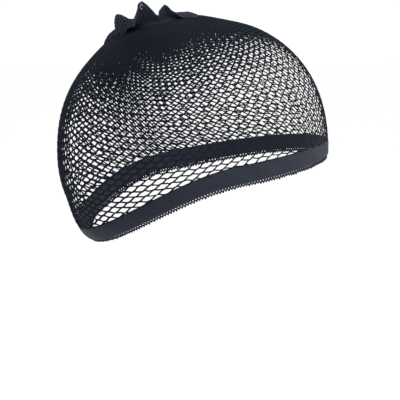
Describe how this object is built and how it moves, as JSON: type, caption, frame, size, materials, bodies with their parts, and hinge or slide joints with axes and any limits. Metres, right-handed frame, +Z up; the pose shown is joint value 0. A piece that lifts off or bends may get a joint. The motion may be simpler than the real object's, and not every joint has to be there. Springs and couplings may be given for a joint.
{
  "type": "mesh wig cap",
  "caption": "Close-fitting mesh wig cap in its worn form: open net crown gathered under a small ruffle, on a knitted elastic band.",
  "frame": {"origin": "middle of the band's loop, level with the band beside the ears, where the head goes in", "axes": "+Z up towards the crown, -Y towards the wearer's face, +X towards the wearer's left"},
  "size_m": [0.148, 0.1865, 0.163],
  "materials": {
    "net_yarn": "matte",
    "knitted_elastic": "matte",
    "ruffle_net": "matte"
  },
  "bodies": {
    "root": {"net_crown": "net_yarn", "elastic_band": "knitted_elastic", "crown_ruffle": "ruffle_net"}
  },
  "joints": []
}
